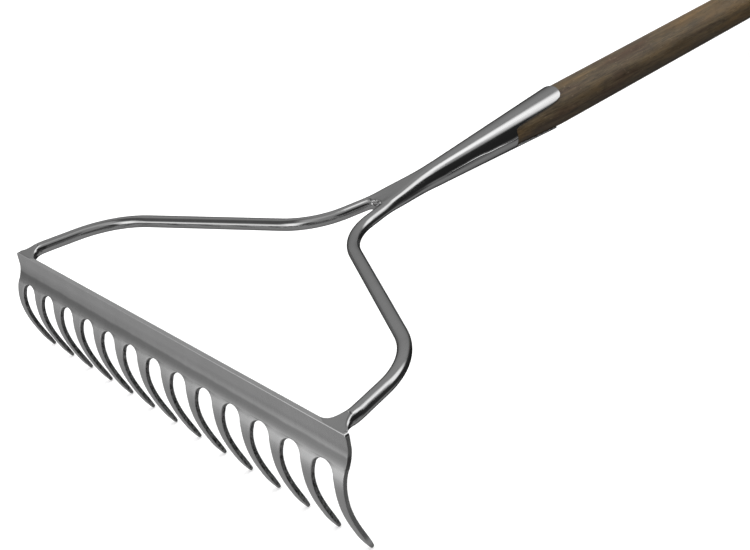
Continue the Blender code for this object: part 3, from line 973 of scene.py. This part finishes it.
def stained_ash():
    """Dark oiled ash: rings cut along the shaft, open pores, and warmer and darker streaks."""
    material, tree, shader = new_material("stained_ash")
    off_axis = stretched(tree, (1, 0.05, 1), (0.031, 0.0, 0.024))
    rings = add_node(tree, "ShaderNodeTexWave", {
        "Vector": off_axis, "Scale": 90.0, "Distortion": 3.6, "Detail": 3.0, "Detail Scale": 0.9,
        "Detail Roughness": 0.6}, wave_type="RINGS", rings_direction="Y")
    streaks = noise(tree, stretched(tree, (1, 0.05, 1)), scale=640.0, detail=6.0, roughness=0.68)
    pores = noise(tree, stretched(tree, (1, 0.07, 1), (0.4, 0, 0.2)), scale=1900.0, detail=3.0,
                  roughness=0.65)
    flecks = noise(tree, stretched(tree, (1, 0.3, 1), (0.1, 0.3, 0.7)), scale=900.0, detail=2.0,
                   roughness=0.5)
    patches = noise(tree, stretched(tree, (1, 0.2, 1)), scale=46.0, detail=4.0, roughness=0.6)
    body = ramp(tree, streaks, [(0.30, WOOD_DARK), (0.5, WOOD_BODY), (0.72, WOOD_LIGHT)])
    warm = mix(tree, ramp(tree, patches, [(0.46, 0.0), (0.62, 0.7)]), body, WOOD_WARM)
    red = mix(tree, ramp(tree, patches, [(0.34, 0.7), (0.48, 0.0)]), warm, WOOD_RED)
    ring_tone = ramp(tree, rings.outputs["Fac"], [(0.15, 0.4), (0.8, 1.0)])
    ringed = mix(tree, 0.3, red, ring_tone, "MULTIPLY")
    pore_tone = ramp(tree, pores, [(0.36, 0.4), (0.47, 1.0)])
    porous = mix(tree, 0.75, ringed, pore_tone, "MULTIPLY")
    flecked = mix(tree, ramp(tree, flecks, [(0.66, 0.0), (0.72, 0.4)]), porous, WOOD_FLECK)
    tree.links.new(flecked, shader.inputs["Base Color"])
    tree.links.new(spread(tree, streaks, 0.42, 0.58), shader.inputs["Roughness"])
    tree.links.new(bump(tree, pores, strength=0.25, distance=0.0001), shader.inputs["Normal"])
    shader.inputs["Specular IOR Level"].default_value = 0.4
    return material


# ---------------------------------------------------------------- studio

def build_floor():
    """Pale floor, kept out of reflections, so that the steel shows the studio's panels alone."""
    bm = bmesh.new()
    bmesh.ops.create_grid(bm, x_segments=8, y_segments=8, size=FLOOR_SIZE)
    mesh = bpy.data.meshes.new("studio_floor")
    bm.to_mesh(mesh)
    bm.free()
    floor = bpy.data.objects.new("studio_floor", mesh)
    bpy.context.scene.collection.objects.link(floor)
    material, _, shader = new_material("pale_paper")
    shader.inputs["Base Color"].default_value = (0.9, 0.9, 0.9, 1.0)
    shader.inputs["Roughness"].default_value = 0.9
    shader.inputs["Emission Color"].default_value = (1.0, 1.0, 1.0, 1.0)
    shader.inputs["Emission Strength"].default_value = FLOOR_GLOW
    mesh.materials.append(material)
    floor.visible_glossy = False
    floor.visible_diffuse = False


def soft_panel(tree, direction, azimuth, elevation, half_width, half_height, softness):
    """1 inside a soft-edged panel of the studio and 0 outside it, by direction; all in degrees."""
    turn = Matrix.Rotation(math.radians(azimuth), 3, "Z")
    facing = turn @ Matrix.Rotation(-math.radians(elevation), 3, "Y")
    ahead, left, up = [facing @ Vector(axis) for axis in ((1, 0, 0), (0, 1, 0), (0, 0, 1))]
    parts = []
    for axis in (ahead, left, up):
        dot = add_node(tree, "ShaderNodeVectorMath", {0: direction, 1: axis}, operation="DOT_PRODUCT")
        parts.append(dot.outputs["Value"])
    across = add_node(tree, "ShaderNodeMath", {0: parts[1], 1: parts[0]}, operation="ARCTAN2")
    above = add_node(tree, "ShaderNodeMath", {0: parts[2]}, operation="ARCSINE")
    shares = []
    for angle, half in ((across, half_width), (above, half_height)):
        size = add_node(tree, "ShaderNodeMath", {0: angle.outputs[0]}, operation="ABSOLUTE")
        near, far = math.radians(half - softness), math.radians(half + softness)
        share = add_node(tree, "ShaderNodeMapRange", {"Value": size.outputs[0], "From Min": near,
                                                      "From Max": far, "To Min": 1.0, "To Max": 0.0},
                         interpolation_type="SMOOTHSTEP")
        shares.append(share.outputs["Result"])
    both = add_node(tree, "ShaderNodeMath", {0: shares[0], 1: shares[1]}, operation="MULTIPLY")
    return both.outputs[0]


def build_world():
    """Grey studio with soft boxes and dark screens for the steel to reflect, on a white backdrop."""
    world = bpy.data.worlds.new("studio")
    world.use_nodes = True
    bpy.context.scene.world = world
    tree = world.node_tree
    direction = add_node(tree, "ShaderNodeTexCoord").outputs["Generated"]
    glow = STUDIO_GREY
    for *place_and_size, brightness in STUDIO_PANELS:
        share = soft_panel(tree, direction, *place_and_size)
        glow = mix_value(tree, share, glow, brightness)
    seen = add_node(tree, "ShaderNodeLightPath").outputs["Is Camera Ray"]
    glow = mix_value(tree, seen, glow, 1.0)
    tree.links.new(glow, tree.nodes["Background"].inputs["Strength"])
    tree.nodes["Background"].inputs["Color"].default_value = (1.0, 1.0, 1.0, 1.0)


def build_key_light():
    """Broad light from high up for the wood and the floor."""
    data = bpy.data.lights.new("soft_key", "SUN")
    data.angle = math.radians(KEY_SPREAD)
    data.energy = KEY_ENERGY
    light = bpy.data.objects.new("soft_key", data)
    light.rotation_euler = Vector(KEY_FROM).to_track_quat("Z", "Y").to_euler()
    light.visible_glossy = False
    bpy.context.scene.collection.objects.link(light)


def build_camera():
    """The view from in front of the head, to its right and above it."""
    right, down = Vector(CAMERA_RIGHT).normalized(), Vector(CAMERA_DOWN)
    down = (down - right * down.dot(right)).normalized()
    ahead = right.cross(down)
    turn = Matrix((right, -down, -ahead)).transposed().to_4x4()
    data = bpy.data.cameras.new("camera")
    data.sensor_width = 36.0
    data.lens = CAMERA_LENS
    data.clip_end = 50.0
    camera = bpy.data.objects.new("camera", data)
    camera.matrix_world = TOOL @ Matrix.Translation(Vector(CAMERA_PLACE) * MM) @ turn
    bpy.context.scene.collection.objects.link(camera)
    bpy.context.scene.camera = camera


def main():
    build_camera()
    # the formed plate gets painted shade in its valley and a painted highlight on its tine roots
    plate = steel("stamped_steel", tones=(0.74, 0.84), roughness=(0.18, 0.26), grain=(1, 0.12, 0.12),
                  grain_scale=900.0, painted_light=PLATE_TONE_AND_PAINTED_LIGHT)
    polished = steel("polished_steel", tones=(0.6, 0.66), roughness=(0.10, 0.16), grain=(1, 0.1, 1),
                     grain_scale=700.0, edge=ROD_EDGE_TINT)
    screw = steel("screw_steel", tones=(0.4, 0.5), roughness=(0.25, 0.35), grain=(1, 1, 1),
                  grain_scale=900.0)
    # dark metal for the gaps' torn walls, also used as a painted shadow on the lower tongue's sides
    sheared_and_shadow = sheared_steel_and_painted_shadow()
    build_tine_bar([plate, sheared_and_shadow])
    build_bow_arm("bent_rod_right", 1, polished, "bow_arm_right")
    build_bow_arm("bent_rod_left", -1, polished, "bow_arm_left")
    build_foot("rod_foot_right", 1, polished)
    build_foot("rod_foot_left", -1, polished)
    build_neck(polished)
    build_weld(polished)
    build_strap("upper_strap_shell", UPPER_EDGE, 1, [polished], "socket_upper_strap")
    build_strap("lower_strap_shell", LOWER_EDGE, -1, [polished, sheared_and_shadow], "socket_lower_strap")
    build_shaft(stained_ash())
    for label, y in SCREW_PLACES.items():
        build_screw(f"recessed_screw_{label}", y, screw, f"strap_screw_{label}")
    build_floor()
    build_world()
    build_key_light()
    bpy.context.scene.view_settings.view_transform = "Standard"


main()
